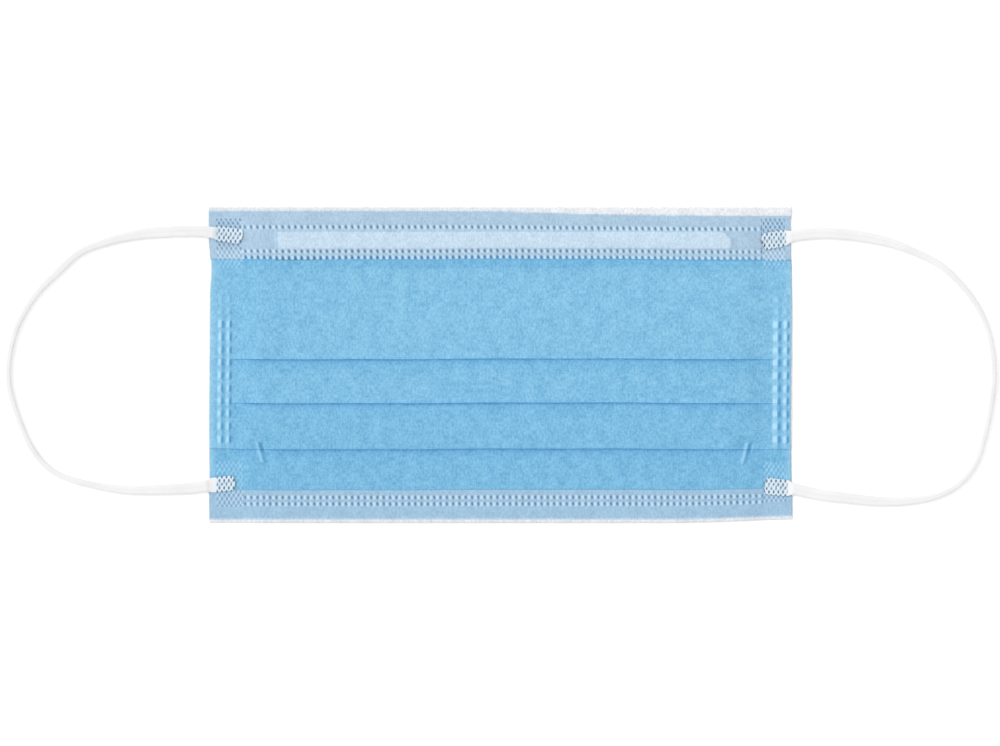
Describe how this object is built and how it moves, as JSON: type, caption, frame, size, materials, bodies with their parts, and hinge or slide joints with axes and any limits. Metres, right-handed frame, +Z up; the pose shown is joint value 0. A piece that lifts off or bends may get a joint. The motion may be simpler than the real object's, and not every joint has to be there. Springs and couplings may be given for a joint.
{
  "type": "surgical face mask",
  "caption": "Pleated nonwoven face mask laid flat, with pale folded hems, a bendable nose strip and elastic ear loops.",
  "frame": {"origin": "middle of the mask body's footprint, on the surface that it lies on; the ear loops aren't counted", "axes": "+X along the mask's width towards the wearer's left ear as seen from the front, +Y towards the nose edge, +Z up out of the blue outer face"},
  "size_m": [0.299, 0.0946, 0.0038],
  "materials": {
    "outer_cloth": "light blue spunbond nonwoven, matt with a faint fibre sheen",
    "lining_cloth": "white nonwoven lining, thin enough for the blue below to tint it",
    "strip_plastic": "off-white plastic-coated wire strip",
    "elastic": "white knitted elastic"
  },
  "bodies": {
    "root": {"pleated_panel": "outer_cloth", "top_hem": "lining_cloth", "bottom_hem": "lining_cloth", "nose_strip": "strip_plastic", "ear_loop_left": "elastic", "ear_loop_right": "elastic"}
  },
  "joints": []
}
